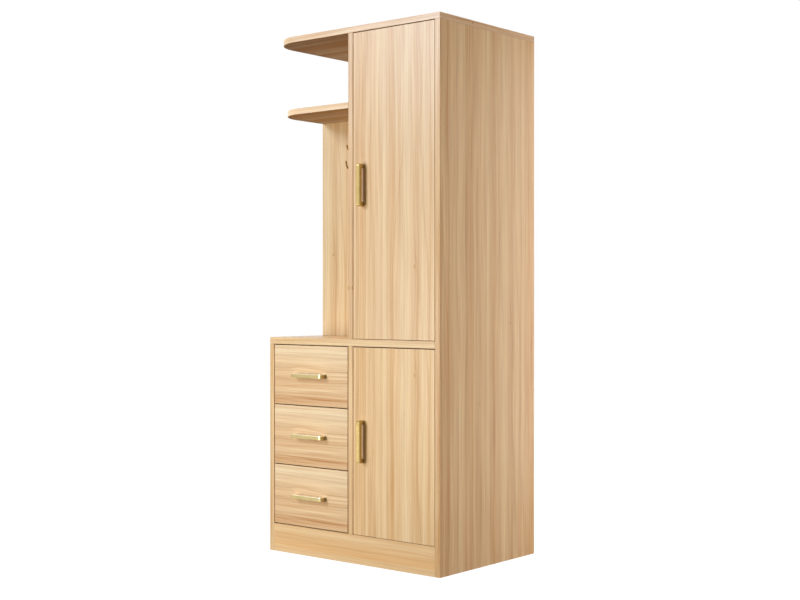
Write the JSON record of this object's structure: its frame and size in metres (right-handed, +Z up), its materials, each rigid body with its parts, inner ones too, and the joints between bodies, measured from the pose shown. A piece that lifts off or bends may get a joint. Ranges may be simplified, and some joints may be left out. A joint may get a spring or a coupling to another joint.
{
  "type": "hall wardrobe",
  "caption": "Tall inset-door cabinet beside a desk-high drawer unit, with an open hall bay, hook panel, shelf and overhanging top board with rounded corners.",
  "frame": {"origin": "middle of the base of the whole object's box, on the floor, pulls included", "axes": "+Z up, -Y out of the doors and drawers, +X to the right seen from the front"},
  "size_m": [0.76, 0.561, 1.8],
  "materials": {
    "wood_foil": "pale wood-grain melamine foil on chipboard, satin",
    "drawer_board": "pale foil-faced chipboard",
    "hardboard": "bare brown hardboard, 3 mm",
    "brushed_gold": "brushed pale gold, lacquered",
    "antique_brass": "dark antique brass",
    "zinc_steel": "zinc-plated pressed steel",
    "chromed_tube": "polished chrome"
  },
  "bodies": {
    "carcass": {"right_side_panel": "wood_foil", "left_side_panel": "wood_foil", "lower_centre_panel": "wood_foil", "upper_centre_panel": "wood_foil", "top_board": "wood_foil", "deck_board": "wood_foil", "bottom_board": "wood_foil", "kick_board": "wood_foil", "hook_panel": "wood_foil", "hall_shelf": "wood_foil", "lower_shelf": "wood_foil", "upper_back_panel": "hardboard", "lower_back_panel": "hardboard", "hanging_rail": "chromed_tube", "rail_socket_left": "chromed_tube", "rail_socket_right": "chromed_tube", "coat_hook": "antique_brass", "upper_door_top_hinge_arm": "zinc_steel", "upper_door_bottom_hinge_arm": "zinc_steel", "lower_door_top_hinge_arm": "zinc_steel", "lower_door_bottom_hinge_arm": "zinc_steel", "drawer_1_left_cabinet_runner": "zinc_steel", "drawer_1_right_cabinet_runner": "zinc_steel", "drawer_2_left_cabinet_runner": "zinc_steel", "drawer_2_right_cabinet_runner": "zinc_steel", "drawer_3_left_cabinet_runner": "zinc_steel", "drawer_3_right_cabinet_runner": "zinc_steel"},
    "upper_door": {"upper_door": "wood_foil", "upper_door_pull": "brushed_gold", "upper_door_top_hinge_cup": "zinc_steel", "upper_door_bottom_hinge_cup": "zinc_steel"},
    "lower_door": {"lower_door": "wood_foil", "lower_door_pull": "brushed_gold", "lower_door_top_hinge_cup": "zinc_steel", "lower_door_bottom_hinge_cup": "zinc_steel"},
    "drawer_1": {"drawer_1_front": "wood_foil", "drawer_1_left_side": "drawer_board", "drawer_1_right_side": "drawer_board", "drawer_1_back": "drawer_board", "drawer_1_bottom": "hardboard", "drawer_1_pull": "brushed_gold", "drawer_1_left_drawer_runner": "zinc_steel", "drawer_1_right_drawer_runner": "zinc_steel"},
    "drawer_2": {"drawer_2_front": "wood_foil", "drawer_2_left_side": "drawer_board", "drawer_2_right_side": "drawer_board", "drawer_2_back": "drawer_board", "drawer_2_bottom": "hardboard", "drawer_2_pull": "brushed_gold", "drawer_2_left_drawer_runner": "zinc_steel", "drawer_2_right_drawer_runner": "zinc_steel"},
    "drawer_3": {"drawer_3_front": "wood_foil", "drawer_3_left_side": "drawer_board", "drawer_3_right_side": "drawer_board", "drawer_3_back": "drawer_board", "drawer_3_bottom": "hardboard", "drawer_3_pull": "brushed_gold", "drawer_3_left_drawer_runner": "zinc_steel", "drawer_3_right_drawer_runner": "zinc_steel"}
  },
  "joints": [
    {"name": "upper_door_hinge", "type": "hinge", "parent": "carcass", "child": "upper_door", "pos_m": [0.3585, -0.2545, 1.26525], "axis": [0, 0, 1], "range_deg": [0, 110]},
    {"name": "lower_door_hinge", "type": "hinge", "parent": "carcass", "child": "lower_door", "pos_m": [0.3585, -0.2545, 0.41175], "axis": [0, 0, 1], "range_deg": [0, 110]},
    {"name": "drawer_1_slide", "type": "slide", "parent": "carcass", "child": "drawer_1", "axis": [0, -1, 0], "range_m": [0, 0.35]},
    {"name": "drawer_2_slide", "type": "slide", "parent": "carcass", "child": "drawer_2", "axis": [0, -1, 0], "range_m": [0, 0.35]},
    {"name": "drawer_3_slide", "type": "slide", "parent": "carcass", "child": "drawer_3", "axis": [0, -1, 0], "range_m": [0, 0.35]}
  ]
}
